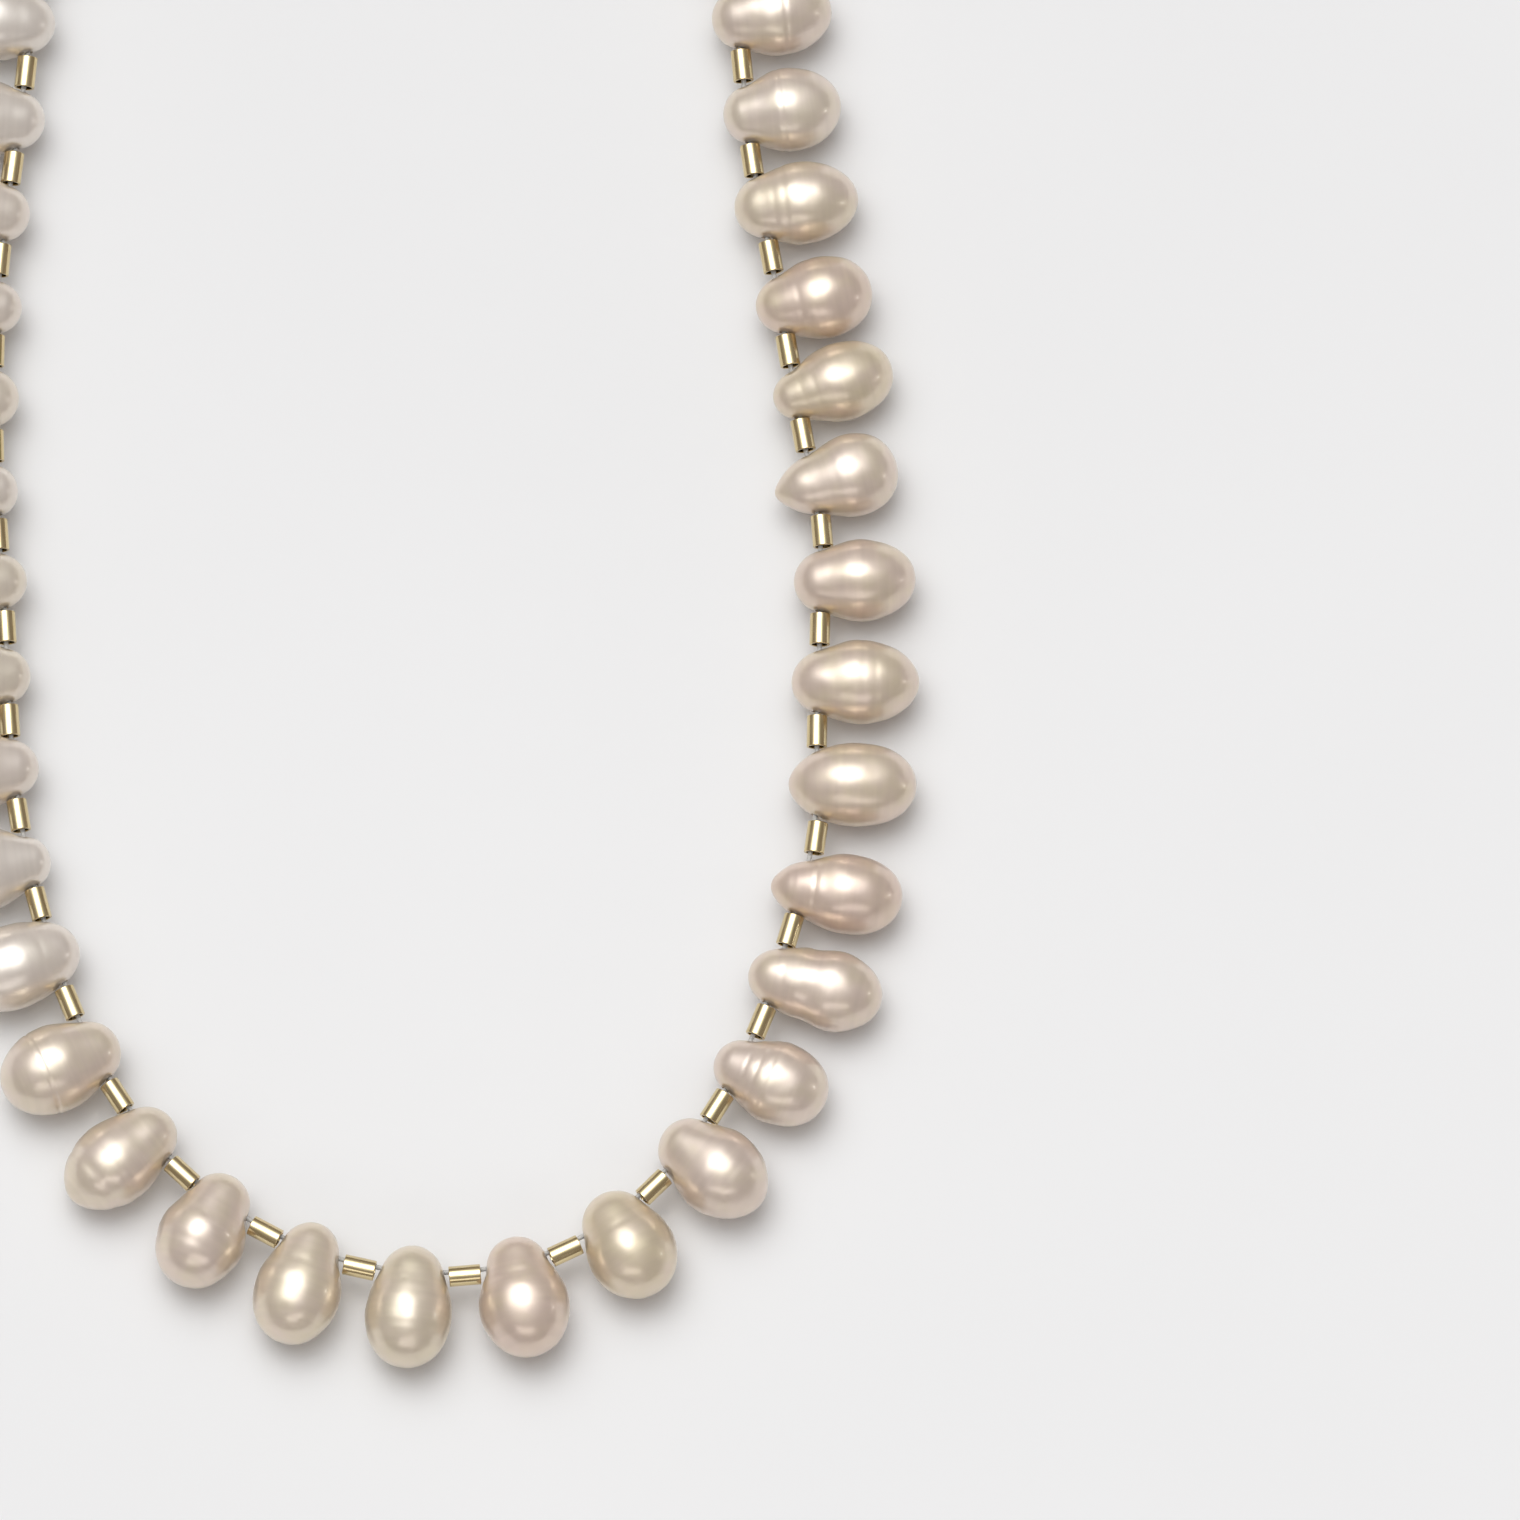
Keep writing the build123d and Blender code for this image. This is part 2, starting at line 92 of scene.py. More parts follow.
# Creases round single pearls: (share of the length from the inner end, depth in mm, reach in mm).
CREASES = {
    "pearl_05": [(0.60, 0.05, 0.22)],
    "pearl_06": [(0.49, 0.07, 0.16), (0.56, 0.02, 0.5)],
    "pearl_07": [(0.40, 0.05, 0.35), (0.31, 0.03, 0.3)],
    "pearl_08": [(0.36, 0.03, 0.25), (0.52, 0.025, 0.25)],
    "pearl_09": [(0.22, 0.04, 0.3), (0.33, 0.03, 0.3)],
    "pearl_12": [(0.55, 0.03, 0.35), (0.66, 0.02, 0.3)],
    "pearl_13": [(0.42, 0.03, 0.3)],
    "pearl_14": [(0.33, 0.08, 0.18), (0.16, 0.05, 0.35)],
    "pearl_15": [(0.46, 0.26, 1.3), (0.25, 0.03, 0.3)],
    "pearl_16": [(0.28, 0.06, 0.2), (0.38, 0.06, 0.2), (0.48, 0.05, 0.2)],
    "pearl_17": [(0.72, 0.03, 0.4)],
    "pearl_19": [(0.36, 0.025, 0.3)],
    "pearl_22": [(0.70, 0.05, 0.5)],
    "pearl_23": [(0.76, 0.10, 0.55), (0.60, 0.03, 0.3)],
    "pearl_24": [(0.66, 0.09, 0.11)],
    "pearl_25": [(0.30, 0.03, 0.3)],
    "pearl_26": [(0.55, 0.05, 0.4)],
    "pearl_27": [(0.45, 0.05, 0.25)],
    "pearl_31": [(0.50, 0.03, 0.3)],
}
# Small pits: (share of the length, angle round the pearl from the top, depth in mm, reach in mm).
PITS = {
    "pearl_20": [(0.33, 0.2, 0.05, 0.22)],
    "pearl_21": [(0.80, 0.1, 0.06, 0.5), (0.86, -0.5, 0.05, 0.3)],
    "pearl_22": [(0.45, 0.1, 0.05, 0.25), (0.52, -0.35, 0.05, 0.22), (0.40, -0.3, 0.04, 0.2)],
}
ROSE_STRENGTH = 0.28
# Colour of each pearl: (whiteness, rose above 0 and green-gold below it).
TONES = {
    "pearl_05": (0.35, 0.1), "pearl_06": (0.45, 0.0), "pearl_07": (0.3, -0.3),
    "pearl_08": (0.1, 0.35), "pearl_09": (0.2, -0.5), "pearl_10": (0.3, 0.1),
    "pearl_11": (0.2, 0.1), "pearl_12": (0.2, 0.0), "pearl_13": (0.2, 0.0),
    "pearl_14": (0.05, 0.5), "pearl_15": (0.25, 0.1), "pearl_16": (0.3, 0.3),
    "pearl_17": (0.3, 0.3), "pearl_18": (0.2, -0.6), "pearl_19": (0.1, 0.4),
    "pearl_20": (0.35, -0.8), "pearl_21": (0.3, -0.3), "pearl_22": (0.3, 0.2),
    "pearl_23": (0.35, -0.1), "pearl_24": (0.35, -0.2), "pearl_25": (0.75, 0.1),
    "pearl_26": (0.9, 0.3), "pearl_27": (0.7, 0.4), "pearl_28": (0.6, -0.5),
    "pearl_29": (0.6, -0.6), "pearl_30": (0.8, -0.1), "pearl_31": (0.6, -0.6),
    "pearl_32": (0.7, 0.2), "pearl_33": (0.7, 0.3), "pearl_34": (0.9, 0.2),
    "pearl_35": (0.95, 0.1),
}


# ---------------------------------------------------------------- small helpers
def smoothstep(low, high, value):
    """0 below low, 1 above high, and an even slope between."""
    share = min(1.0, max(0.0, (value - low) / (high - low)))
    return share * share * (3 - 2 * share)


def solid_mesh(name, vertices, faces):
    """A mesh whose faces all look outwards."""
    mesh = bpy.data.meshes.new(name)
    mesh.from_pydata(vertices, [], faces)
    whole = bmesh.new()
    whole.from_mesh(mesh)
    bmesh.ops.recalc_face_normals(whole, faces=whole.faces)
    whole.to_mesh(mesh)
    whole.free()
    return mesh


def new_object(name, mesh, material, body):
    """Puts a mesh into the scene, smooth, with its material, riding on its body."""
    mesh.materials.clear()
    mesh.materials.append(material)
    mesh.polygons.foreach_set("use_smooth", [True] * len(mesh.polygons))
    thing = bpy.data.objects.new(name, mesh)
    bpy.context.scene.collection.objects.link(thing)
    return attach(thing, body)


def across(axis):
    """Two directions square to an axis and to each other, the second as near up as can be."""
    helper = Vector((0, 0, 1)) if abs(axis.z) < 0.9 else Vector((1, 0, 0))
    side = axis.cross(helper).normalized()
    return side, side.cross(axis).normalized()


def islands(mesh):
    """The separate solids of a mesh, each as an array of vertex places."""
    parent = list(range(len(mesh.vertices)))

    def root(index):
        while parent[index] != index:
            parent[index] = parent[parent[index]]
            index = parent[index]
        return index

    keys = {}
    for vertex in mesh.vertices:
        key = tuple(round(value / WELD) for value in vertex.co)
        if key in keys:
            parent[root(vertex.index)] = root(keys[key])
        keys[key] = vertex.index
    for edge in mesh.edges:
        parent[root(edge.vertices[0])] = root(edge.vertices[1])
    groups = {}
    for vertex in mesh.vertices:
        groups.setdefault(root(vertex.index), []).append(tuple(vertex.co))
    return [np.array(group) for group in groups.values()]


def tube_faces(rings, corners, first=0, closed=False):
    """Faces between neighbouring rings of points, numbered ring by ring."""
    faces = []
    for ring in range(rings if closed else rings - 1):
        here, there = first + ring * corners, first + (ring + 1) % rings * corners
        for corner in range(corners):
            beside = (corner + 1) % corners
            faces.append((here + corner, here + beside, there + beside, there + corner))
    return faces


# ---------------------------------------------------------------- node-tree helpers
def new_material(name):
    """A new node material, with its tree and its Principled shader."""
    material = bpy.data.materials.new(name)
    material.use_nodes = True
    tree = material.node_tree
    shader = tree.nodes["Principled BSDF"]
    return material, tree, shader


def add(tree, kind, inputs=None, **settings):
    """A node with some of its inputs set; an input may be a value or another node's output."""
    node = tree.nodes.new(kind)
    for key, value in settings.items():
        setattr(node, key, value)
    for key, value in (inputs or {}).items():
        if isinstance(value, bpy.types.NodeSocket):
            tree.links.new(value, node.inputs[key])
        else:
            node.inputs[key].default_value = value
    return node


def ramp(tree, factor, stops):
    """A colour ramp with the given (place, grey or colour) stops."""
    node = add(tree, "ShaderNodeValToRGB", {"Fac": factor})
    elements = node.color_ramp.elements
    while len(elements) < len(stops):
        elements.new(0.5)
    for element, (place, colour) in zip(elements, stops):
        element.position = place
        element.color = (*colour, 1) if isinstance(colour, tuple) else (colour,) * 3 + (1,)
    return node.outputs["Color"]


def mixed(tree, factor, first, second, blend_type="MIX"):
    """Two colours mixed by a factor."""
    node = add(tree, "ShaderNodeMix", data_type="RGBA", blend_type=blend_type)
    for key, value in ((0, factor), (6, first), (7, second)):
        if isinstance(value, bpy.types.NodeSocket):
            tree.links.new(value, node.inputs[key])
        else:
            node.inputs[key].default_value = (*value, 1) if isinstance(value, tuple) else value
    return node.outputs[2]


# ---------------------------------------------------------------- materials
def nacre_material():
    """Cream nacre: soft colour patches, fine growth rings, a satin skin with a clear gloss."""
    material, tree, shader = new_material("nacre")
    place = add(tree, "ShaderNodeAttribute", attribute_name="place").outputs["Vector"]
    tone = add(tree, "ShaderNodeAttribute", attribute_name="tone").outputs["Vector"]
    parts = add(tree, "ShaderNodeSeparateXYZ", {"Vector": tone})
    whiteness, rose = parts.outputs["X"], parts.outputs["Y"]

    patches = add(tree, "ShaderNodeTexNoise", {"Vector": place, "Scale": 0.28, "Detail": 2.5,
                                               "Roughness": 0.55}).outputs["Fac"]
    drift = add(tree, "ShaderNodeMath", {0: patches, 1: rose}, operation="ADD").outputs[0]
    hue = ramp(tree, drift, [(0.1, (0.72, 0.61, 0.39)), (0.4, (0.76, 0.63, 0.46)),
                             (0.58, (0.77, 0.62, 0.50)), (0.9, (0.76, 0.60, 0.52))])
    colour = mixed(tree, whiteness, hue, (0.87, 0.81, 0.74))

    stretched = add(tree, "ShaderNodeMapping", {"Vector": place, "Scale": (1.5, 0.12, 0.12)})
    rings = add(tree, "ShaderNodeTexNoise", {"Vector": stretched.outputs["Vector"], "Scale": 1.0,
                                             "Detail": 1.5}).outputs["Fac"]
    colour = mixed(tree, 0.35, colour, ramp(tree, rings, [(0.3, 0.84), (0.65, 1.0)]), "MULTIPLY")
    tree.links.new(colour, shader.inputs["Base Color"])

    specks = add(tree, "ShaderNodeTexNoise", {"Vector": place, "Scale": 0.9, "Detail": 1.0})
    rough = add(tree, "ShaderNodeMapRange", {"Value": specks.outputs["Fac"], "From Min": 0.3,
                                             "From Max": 0.7, "To Min": 0.29, "To Max": 0.35})
    tree.links.new(rough.outputs["Result"], shader.inputs["Roughness"])

    bump = add(tree, "ShaderNodeBump", {"Height": rings, "Strength": 0.03,
                                        "Distance": 0.03 * MM})
    tree.links.new(bump.outputs["Normal"], shader.inputs["Normal"])
    for name, value in (("Metallic", 0.52), ("IOR", 1.6), ("Coat Weight", 0.45),
                        ("Coat Roughness", 0.12), ("Coat IOR", 1.5)):
        shader.inputs[name].default_value = value
    return material


def gold_material(name, on_tubes):
    """Polished pale yellow gold, with drawing streaks along the tube beads."""
    material, tree, shader = new_material(name)
    if on_tubes:
        source = add(tree, "ShaderNodeAttribute", attribute_name="place").outputs["Vector"]
        scale = (0.5, 7.0, 7.0)
    else:
        source = add(tree, "ShaderNodeTexCoord").outputs["Object"]
        scale = (1400.0, 1400.0, 1400.0)
    stretched = add(tree, "ShaderNodeMapping", {"Vector": source, "Scale": scale})
    streaks = add(tree, "ShaderNodeTexNoise", {"Vector": stretched.outputs["Vector"],
                                               "Scale": 1.0, "Detail": 4.0}).outputs["Fac"]
    colour = ramp(tree, streaks, [(0.25, (0.62, 0.49, 0.26)), (0.6, (0.76, 0.63, 0.37)),
                                  (0.8, (0.84, 0.72, 0.47))])
    tree.links.new(colour, shader.inputs["Base Color"])
    rough = add(tree, "ShaderNodeMapRange", {"Value": streaks, "From Min": 0.3, "From Max": 0.75,
                                             "To Min": 0.09, "To Max": 0.24})
    tree.links.new(rough.outputs["Result"], shader.inputs["Roughness"])
    bump = add(tree, "ShaderNodeBump", {"Height": streaks, "Strength": 0.15,
                                        "Distance": 0.01 * MM})
    tree.links.new(bump.outputs["Normal"], shader.inputs["Normal"])
    shader.inputs["Metallic"].default_value = 1.0
    return material


def thread_material():
    """Grey silk with fine fibre mottling; the grooves between its plies are in the thread's shape.
    """
    material, tree, shader = new_material("silk_thread")
    place = add(tree, "ShaderNodeTexCoord").outputs["Object"]
    fibres = add(tree, "ShaderNodeTexNoise", {"Vector": place, "Scale": 9000.0, "Detail": 3.0})
    colour = ramp(tree, fibres.outputs["Fac"], [(0.3, (0.42, 0.41, 0.39)),
                                                (0.7, (0.66, 0.65, 0.62))])
    tree.links.new(colour, shader.inputs["Base Color"])
    bump = add(tree, "ShaderNodeBump", {"Height": fibres.outputs["Fac"], "Strength": 0.3,
                                        "Distance": 0.02 * MM})
    tree.links.new(bump.outputs["Normal"], shader.inputs["Normal"])
    shader.inputs["Roughness"].default_value = 0.65
    shader.inputs["Sheen Weight"].default_value = 0.3
    return material


def steel_material():
    """Brushed spring steel."""
    material, tree, shader = new_material("spring_steel")
    place = add(tree, "ShaderNodeTexCoord").outputs["Object"]
    stretched = add(tree, "ShaderNodeMapping", {"Vector": place, "Scale": (900.0, 900.0, 9000.0)})
    grain = add(tree, "ShaderNodeTexNoise", {"Vector": stretched.outputs["Vector"], "Scale": 1.0})
    colour = ramp(tree, grain.outputs["Fac"], [(0.3, (0.48, 0.48, 0.50)),
                                               (0.7, (0.64, 0.64, 0.66))])
    tree.links.new(colour, shader.inputs["Base Color"])
    shader.inputs["Metallic"].default_value = 1.0
    shader.inputs["Roughness"].default_value = 0.32
    return material


def floor_material():
    """A plain pale table."""
    material, tree, shader = new_material("pale_table")
    place = add(tree, "ShaderNodeTexCoord").outputs["Object"]
    mottle = add(tree, "ShaderNodeTexNoise", {"Vector": place, "Scale": 9.0, "Detail": 3.0})
    colour = ramp(tree, mottle.outputs["Fac"], [(0.3, 0.80), (0.7, 0.82)])
    tree.links.new(colour, shader.inputs["Base Color"])
    shader.inputs["Roughness"].default_value = 0.7
    shader.inputs["Specular IOR Level"].default_value = 0.2
    return material


NACRE = nacre_material()
GOLD_TUBES = gold_material("gold_tubes", True)
GOLD_CLASP = gold_material("gold_clasp", False)
THREAD = thread_material()
STEEL = steel_material()


# ---------------------------------------------------------------- pearls
def pearl_axis(model, hole):
    """Direction of a pearl's long axis: from its drill hole to its centre of volume."""
    model.calc_loop_triangles()
    corners = np.array([[tuple(model.vertices[i].co) for i in triangle.vertices]
                        for triangle in model.loop_triangles]) - np.array(hole)
    volumes = np.einsum("ij,ij->i", corners[:, 0], np.cross(corners[:, 1], corners[:, 2]))
    centre = (corners.sum(axis=1) * volumes[:, None]).sum(axis=0) / volumes.sum() / 4
    return Vector(centre).normalized()


def pearl_profile(points, hole, axis, along):
    """Half-width squared against distance along a pearl, read off its model without the hole."""
    offsets = points - np.array(hole)
    on_axis = offsets @ np.array(axis)
    from_drill = np.linalg.norm(np.cross(offsets, np.array(along)), axis=1)
    squares = (offsets ** 2).sum(axis=1) - on_axis ** 2
    kept = from_drill > DRILL_RADIUS * HOLE_MARGIN
    on_axis, squares = on_axis[kept], squares[kept]
    start, end = on_axis.min(), on_axis.max()
    turns = np.arccos(np.clip(1 - 2 * (on_axis - start) / (end - start), -1, 1))
    bins = np.minimum((turns / math.pi * PROFILE_BINS).astype(int), PROFILE_BINS - 1)
    stations, levels = [start], [0.0]
    for number in range(PROFILE_BINS):
        inside = bins == number
        if inside.any() and 0 < number < PROFILE_BINS - 1:
            stations.append(on_axis[inside].mean())
            levels.append(squares[inside].mean())
    return np.array(stations + [end]), np.array(levels + [0.0])


def full_outline(stations, widths):
    """The same outline without the narrowing that makes room for the tube beads."""
    kept = []
    for point in zip(stations, widths):
        while len(kept) > 1:
            (x0, y0), (x1, y1) = kept[-2:]
            if (x1 - x0) * (point[1] - y0) < (y1 - y0) * (point[0] - x0):
                break
            kept.pop()
        kept.append(point)
    return np.array(kept).T


def surface_stray(spot, seed):
    """How far the nacre stands out or in at a spot, in metres."""
    place = spot / MM + Vector((seed * 17.3, seed * 5.1, seed * 29.7))
    broad = noise.noise(place * 0.26) + 0.45 * noise.noise(place * 0.55)
    fine = noise.noise(place * 1.3)
    return WAVINESS * broad + PEEL * fine


def crease_depth(distance, start, length, creases):
    """Depth of the rings and creases at a distance along the pearl."""
    depth = 0.0
    for share, deep, reach in creases:
        depth += deep * MM * math.exp(-((distance - start - share * length) / (reach * MM)) ** 2)
    return depth


def build_pearl(node):
    """One drilled pearl with its own unevenness, marks and colour."""
    seed = int(node[-2:])
    own = random.Random(seed)
    joint = JOINTS[node + "_swing"]
    hole, along = Vector(joint["pos_m"]), Vector(joint["axis"]).normalized()
    model = NODES[node].data
    points = np.array([tuple(vertex.co) for vertex in model.vertices])
    axis = pearl_axis(model, hole)
    stations, squares = pearl_profile(points, hole, axis, along)
    hull_stations, hull_widths = full_outline(stations, np.sqrt(squares))
    start, end = stations[0], stations[-1]
    length = end - start
    side, up = across(axis)
    creases = CREASES.get(node, [(own.uniform(0.3, 0.75), own.uniform(0.01, 0.035), 0.35)])
    pits = PITS.get(node, [])
    oval_turn = own.uniform(0, math.pi)

    vertices = [tuple(hole + axis * start)]
    for ring in range(1, RINGS):
        distance = start + length * (1 - math.cos(math.pi * ring / RINGS)) / 2
        radius = math.sqrt(float(np.interp(distance, stations, squares)))
        fullness = max(0.0, float(np.interp(distance, hull_stations, hull_widths)) - radius)
        lively = smoothstep(0, 0.12 * length, min(distance - start, end - distance))
        groove = crease_depth(distance, start, length, creases) * lively
        for corner in range(CORNERS):
            angle = 2 * math.pi * corner / CORNERS
            outward = side * math.sin(angle) + up * math.cos(angle)
            spot = hole + axis * distance + outward * radius
            from_drill = (spot - hole).cross(along).length
            calm = smoothstep(CALM_NEAR_HOLE, CALM_NEAR_HOLE + CALM_REACH, from_drill)
            stray = (surface_stray(spot, seed) - groove) * calm
            stray += fullness * smoothstep(BESIDE_TUBE, BESIDE_TUBE + FULL_REACH, from_drill)
            stray += OVALITY * radius * math.cos(2 * (angle - oval_turn)) * calm * lively
            for share, pit_angle, deep, reach in pits:
                middle = start + share * length
                turn = math.remainder(angle - pit_angle, 2 * math.pi)
                away = math.hypot(distance - middle, radius * turn) / (reach * MM)
                stray -= deep * MM * math.exp(-away ** 2)
            spot = spot + outward * stray
            spot.z = max(spot.z, FLOOR_CLEARANCE)
            vertices.append(tuple(spot))
    vertices.append(tuple(hole + axis * end))
    last = len(vertices) - 1
    faces = tube_faces(RINGS - 1, CORNERS, first=1)
    faces = [tuple(reversed(face)) for face in faces]
    for corner in range(CORNERS):
        beside = (corner + 1) % CORNERS
        faces.append((0, 1 + corner, 1 + beside))
        faces.append((last, last - CORNERS + beside, last - CORNERS + corner))
    mesh = drilled(solid_mesh(node + "_nacre", vertices, faces), hole, along)

    whiteness, rose = TONES.get(node, (own.uniform(0.3, 0.7), own.uniform(-0.4, 0.4)))
    place = mesh.attributes.new("place", "FLOAT_VECTOR", "POINT")
    tone = mesh.attributes.new("tone", "FLOAT_VECTOR", "POINT")
    shift = Vector((seed * 11.0, seed * 3.0, seed * 7.0))
    for vertex in mesh.vertices:
        offset = vertex.co - hole
        local = Vector((offset.dot(axis), offset.dot(side), offset.dot(up))) / MM
        place.data[vertex.index].vector = local + shift
        tone.data[vertex.index].vector = (whiteness, rose * ROSE_STRENGTH, 0)
    pearl = new_object(node + "_skin", mesh, NACRE, NODE_BODY[node])
    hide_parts(node)


def drilled(mesh, hole, along):
    """The pearl with its drill hole cut through."""
    cutter_mesh = bpy.data.meshes.new("cutter")
    cutter_form = bmesh.new()
    turn = along.to_track_quat("Z", "Y").to_matrix().to_4x4()
    bmesh.ops.create_cone(cutter_form, cap_ends=True, segments=DRILL_CORNERS, radius1=DRILL_RADIUS,
                          radius2=DRILL_RADIUS, depth=DRILL_LENGTH,
                          matrix=Matrix.Translation(hole) @ turn)
    cutter_form.to_mesh(cutter_mesh)
    cutter_form.free()
    cutter = bpy.data.objects.new("cutter", cutter_mesh)
    body = bpy.data.objects.new("body", mesh)
    for thing in (cutter, body):
        bpy.context.scene.collection.objects.link(thing)
    cut = body.modifiers.new("cut", "BOOLEAN")
    cut.operation, cut.solver, cut.object = "DIFFERENCE", "EXACT", cutter
    evaluated = body.evaluated_get(bpy.context.evaluated_depsgraph_get())
    result = bpy.data.meshes.new_from_object(evaluated)
    for thing in (cutter, body):
        bpy.data.objects.remove(thing)
    return result


# ---------------------------------------------------------------- tube beads and thread
def tube_profile():
    """Closed outline of a tube bead's wall, as (radius, distance along it)."""
    outline = []
    for distance in (-0.97, -0.5, 0.0, 0.5, 0.97):
        outline.append((TUBE_RADIUS, distance * (TUBE_HALF - TUBE_EDGE)))
    for end, radius, inward in ((1, TUBE_RADIUS, 1), (1, TUBE_BORE, -1),
                                (-1, TUBE_BORE, -1), (-1, TUBE_RADIUS, 1)):
        edge = TUBE_EDGE if inward == 1 else TUBE_EDGE / 2
        corner = []
        for step in range(5):
            turn = math.pi / 2 * step / 4
            corner.append((radius - inward * edge * (1 - math.cos(turn)),
                           end * (TUBE_HALF - edge * (1 - math.sin(turn)))))
        rising = (end == 1) == (inward == 1)
        outline += corner if rising else corner[::-1]
        if end == 1 and inward == -1:
            outline += [(TUBE_BORE, share * TUBE_HALF) for share in (0.8, 0.3, -0.3, -0.8)]
    return outline


def tube_axis(points):
    """Centre and long axis of a tube bead, from its points."""
    centre = points.mean(axis=0)
    directions = np.linalg.eigh(np.cov((points - centre).T))[1]
    return Vector((points.max(axis=0) + points.min(axis=0)) / 2), Vector(directions[:, -1])


def build_tubes(node, tubes):
    """All tube beads of one section, as one piece."""
    outline = tube_profile()
    vertices, faces, places = [], [], []
    for number, (centre, axis) in enumerate(tubes):
        side, up = across(axis)
        first = len(vertices)
        for radius, distance in outline:
            for corner in range(TUBE_CORNERS):
                angle = 2 * math.pi * corner / TUBE_CORNERS
                dent = noise.noise(Vector((math.sin(angle), math.cos(angle), distance / MM * 0.7))
                                   + centre / MM) * TUBE_DENT
                reach = radius + (dent if radius > TUBE_BORE * 1.1 else 0.0)
                outward = side * math.sin(angle) + up * math.cos(angle)
                vertices.append(tuple(centre + axis * distance + outward * reach))
                places.append((distance / MM + number * 9.0, math.sin(angle), math.cos(angle)))
        faces += tube_faces(len(outline), TUBE_CORNERS, first, closed=True)
    mesh = solid_mesh(node + "_gold", vertices, faces)
    place = mesh.attributes.new("place", "FLOAT_VECTOR", "POINT")
    place.data.foreach_set("vector", np.array(places, dtype=np.float32).ravel())
    piece = new_object(node + "_gold", mesh, GOLD_TUBES, NODE_BODY[node])
    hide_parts(node)


def section_of(spot):
    """Which fold section of the strand a place belongs to; 0 is the front."""
    section = 0
    for name in FOLD_JOINTS:
        joint = JOINTS[name]
        away = spot - Vector(joint["pos_m"])
        if away.cross(Vector(joint["axis"])).z < 0:
            section += 1
    return section


def thread_route(tube_centres, ends):
    """Evenly spaced points of the thread, from one crimp to the other."""
    knots = [ends[0]] + tube_centres + [ends[1]]
    middles = [(a + b) / 2 for a, b in zip(knots, knots[1:])]
    route = [ends[0]]
    for before, corner, after in zip(middles, knots[1:], middles[1:]):
        steps = max(8, round((after - before).length / THREAD_STEP))
        for step in range(steps):
            share = step / steps
            route.append(before * (1 - share) ** 2 + corner * (2 * share * (1 - share))
                         + after * share ** 2)
    return route + [ends[1]]


def build_thread(route):
    """A three-ply thread, as one piece for each section of the strand."""
    twist = 0.0
    rings = []
    for index, spot in enumerate(route):
        before, after = route[max(0, index - 1)], route[min(len(route) - 1, index + 1)]
        direction = (after - before).normalized()
        side, up = across(direction)
        twist += (spot - before).length / PLY_TWIST * 2 * math.pi
        ring = []
        for corner in range(THREAD_CORNERS):
            angle = 2 * math.pi * corner / THREAD_CORNERS
            ply = abs(math.cos(PLIES * (angle - twist) / 2))
            radius = THREAD_RADIUS * (1 - PLY_DEPTH + PLY_DEPTH * ply)
            ring.append(tuple(spot + (side * math.sin(angle) + up * math.cos(angle)) * radius))
        rings.append((section_of(spot), ring))
    runs = {}
    start = 0
    for index in range(1, len(rings) + 1):
        if index == len(rings) or rings[index][0] != rings[start][0]:
            last = min(index + 1, len(rings))
            runs.setdefault(rings[start][0], []).append([ring for _, ring in rings[start:last]])
            start = index
    for section, strands in sorted(runs.items()):
        name = "back" if section == len(FOLD_JOINTS) else f"side_{section}" if section else "front"
        vertices, faces = [], []
        for strand in strands:
            first = len(vertices)
            for ring in strand:
                vertices += ring
            faces += tube_faces(len(strand), THREAD_CORNERS, first)
            faces.append(tuple(first + corner for corner in reversed(range(THREAD_CORNERS))))
            end = first + (len(strand) - 1) * THREAD_CORNERS
            faces.append(tuple(end + corner for corner in range(THREAD_CORNERS)))
        mesh = solid_mesh("thread_" + name, vertices, faces)
        piece = new_object("thread_" + name, mesh, THREAD, NODE_BODY["tube_beads_" + name])
        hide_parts("thread")


# ---------------------------------------------------------------- the whole necklace
for node in PEARL_NODES:
    build_pearl(node)

section_tubes = {node: [tube_axis(points) for points in islands(NODES[node].data)]
                 for node in TUBE_NODES}
for node, tubes in section_tubes.items():
    build_tubes(node, tubes)

all_centres = [centre for tubes in section_tubes.values() for centre, _ in tubes]
# From the clasp down the right side, round the front and up the left side.
all_centres.sort(key=lambda centre: math.atan2(centre.y, centre.x) if centre.x > 0 or centre.y < 0
                 else math.atan2(centre.y, centre.x) - 2 * math.pi, reverse=True)
crimps = sorted((tube_axis(points)[0] for points in islands(NODES["crimp_tubes"].data)),
                key=lambda centre: -centre.x)
build_thread(thread_route(all_centres, crimps))

for node in GOLD_NODES:
    NODES[node].data.materials.clear()
    NODES[node].data.materials.append(GOLD_CLASP)
NODES["clasp_spring"].data.materials.clear()
NODES["clasp_spring"].data.materials.append(STEEL)

# ---------------------------------------------------------------- table, lights and camera
CAMERA_TARGET = Vector((35.49, -28.165, 4.24)) * MM
CAMERA_ELEVATION = math.radians(77)
CAMERA_DISTANCE = 3.0
FRAME_WIDTH = 152 * MM
SENSOR = 36.0

table_mesh = bpy.data.meshes.new("table")
REACH = 1.5
table_mesh.from_pydata([(-REACH, -REACH, 0), (REACH, -REACH, 0), (REACH, REACH, 0),
                        (-REACH, REACH, 0)], [], [(0, 1, 2, 3)])
table_mesh.materials.append(floor_material())
table = bpy.data.objects.new("table", table_mesh)
bpy.context.scene.collection.objects.link(table)

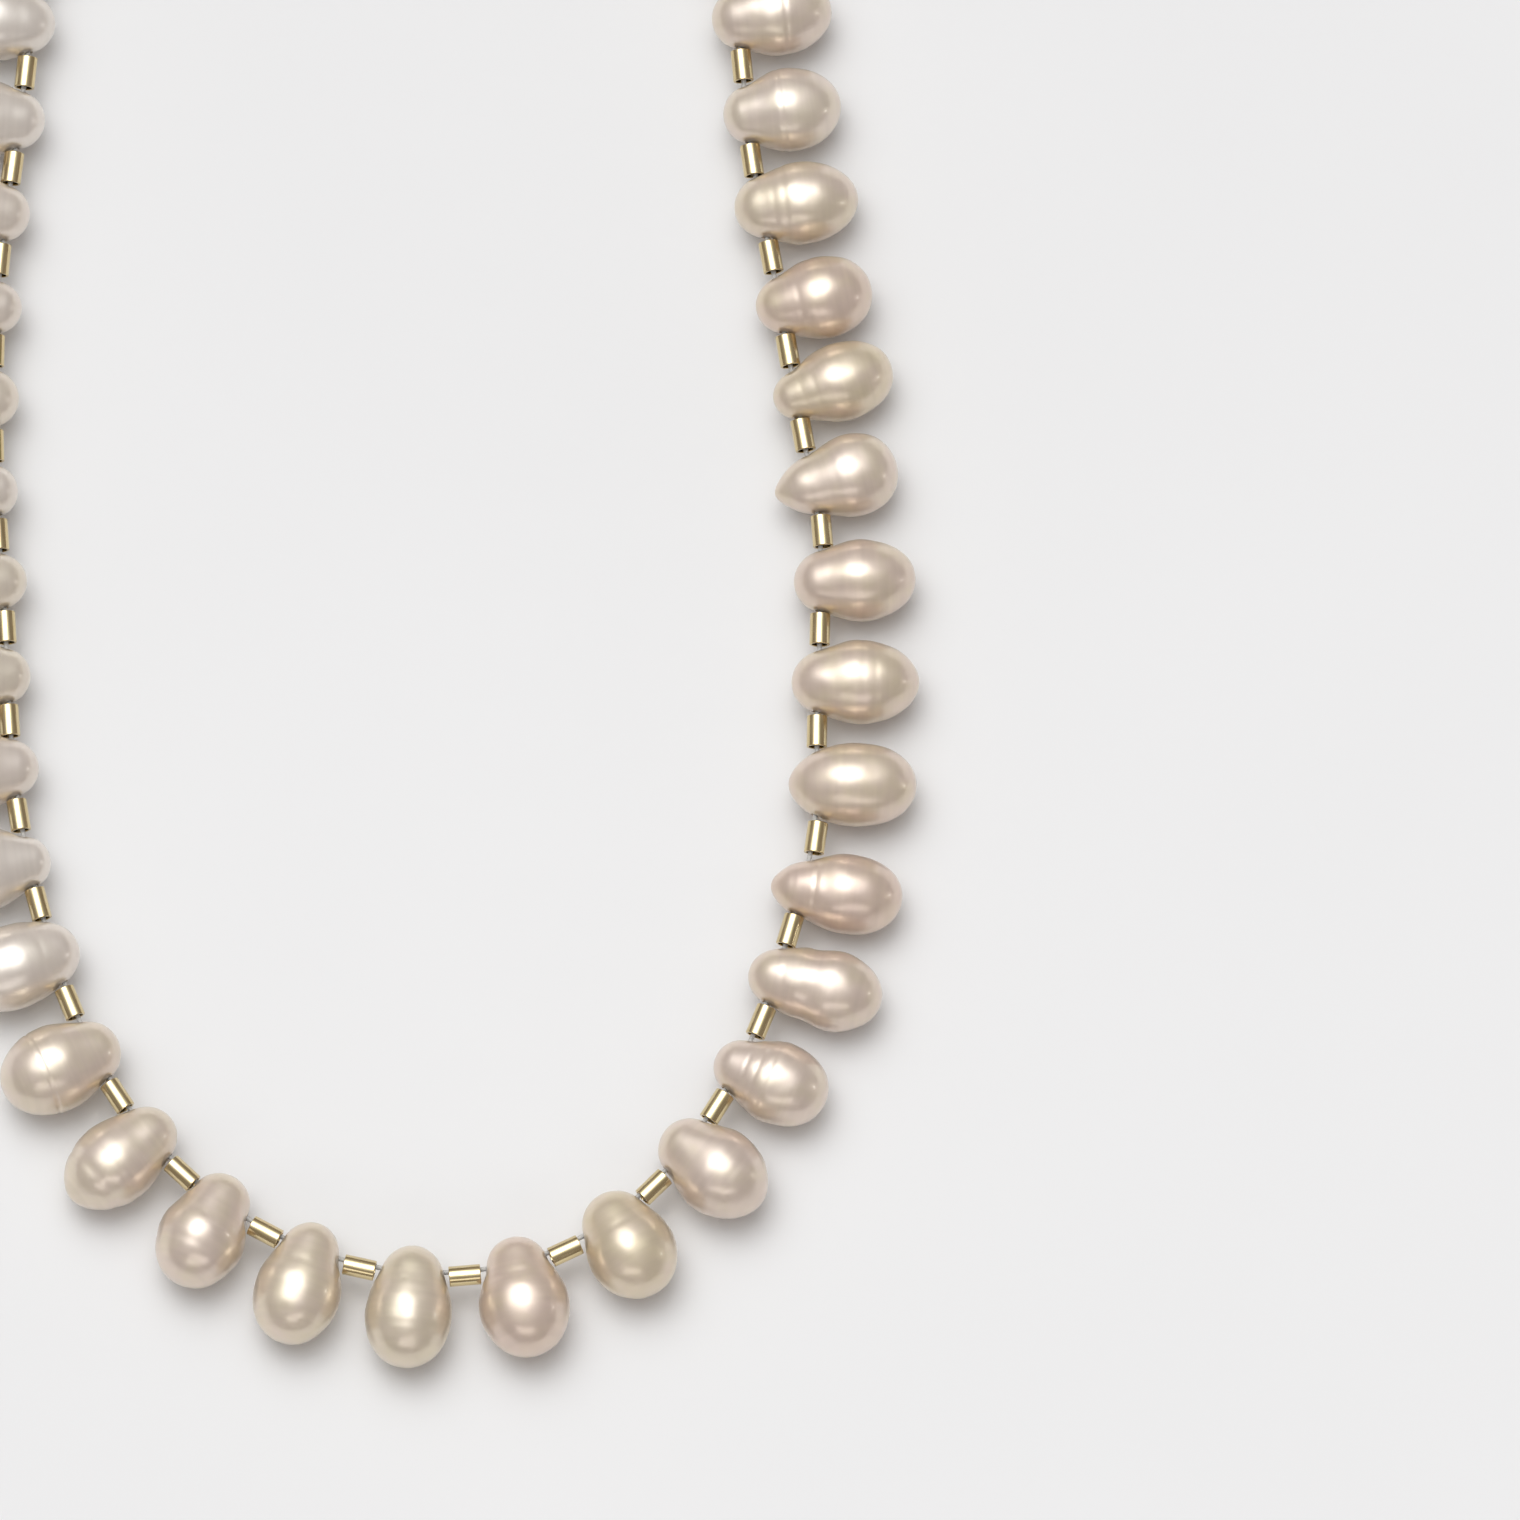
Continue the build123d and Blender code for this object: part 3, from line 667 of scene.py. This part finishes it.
camera_data = bpy.data.cameras.new("camera")
camera_data.sensor_width = SENSOR
camera_data.lens = SENSOR * CAMERA_DISTANCE / FRAME_WIDTH
camera_data.clip_start = 0.01
camera = bpy.data.objects.new("camera", camera_data)
back = Vector((0, -math.cos(CAMERA_ELEVATION), math.sin(CAMERA_ELEVATION)))
camera.location = CAMERA_TARGET + back * CAMERA_DISTANCE
camera.rotation_euler = (math.pi / 2 - CAMERA_ELEVATION, 0, 0)
bpy.context.scene.collection.objects.link(camera)
bpy.context.scene.camera = camera


def soft_light(name, tilt_y, tilt_x, distance, width, height, strength):
    """A soft box aimed at the necklace, tilted from straight up towards +y and +x."""
    data = bpy.data.lights.new(name, "AREA")
    data.shape = "RECTANGLE"
    data.size, data.size_y = width, height
    data.energy = strength
    light = bpy.data.objects.new(name, data)
    ray = Vector((math.tan(math.radians(tilt_x)), math.tan(math.radians(tilt_y)), 1)).normalized()
    light.location = CAMERA_TARGET + ray * distance
    light.rotation_euler = (-ray).to_track_quat("-Z", "Y").to_euler()
    bpy.context.scene.collection.objects.link(light)


soft_light("fill_front", -57, -4, 0.9, 0.7, 0.26, 0.62)
soft_light("glint", -10, 78, 0.9, 0.05, 0.05, 0.12)

world = bpy.data.worlds.new("studio")
bpy.context.scene.world = world
world.use_nodes = True
sky = world.node_tree
direction = add(sky, "ShaderNodeTexCoord").outputs["Generated"]
# One broad soft box, brightest in its middle, in a dim room.
KEY_DIRECTION = Vector((math.tan(math.radians(-8)), math.tan(math.radians(17)), 1)).normalized()
towards_key = add(sky, "ShaderNodeVectorMath", {0: direction, 1: KEY_DIRECTION},
                  operation="DOT_PRODUCT").outputs["Value"]
glow = ramp(sky, towards_key, [(0.0, (0.052, 0.047, 0.045)), (0.62, (0.054, 0.049, 0.047)),
                               (0.80, (0.10, 0.10, 0.10)), (0.90, (0.27, 0.275, 0.28)),
                               (0.955, (0.60, 0.61, 0.62)), (0.99, (1.0, 1.0, 1.0))])
background = sky.nodes["Background"]
sky.links.new(glow, background.inputs["Color"])
background.inputs["Strength"].default_value = 5.45
bpy.context.scene.view_settings.view_transform = "Standard"
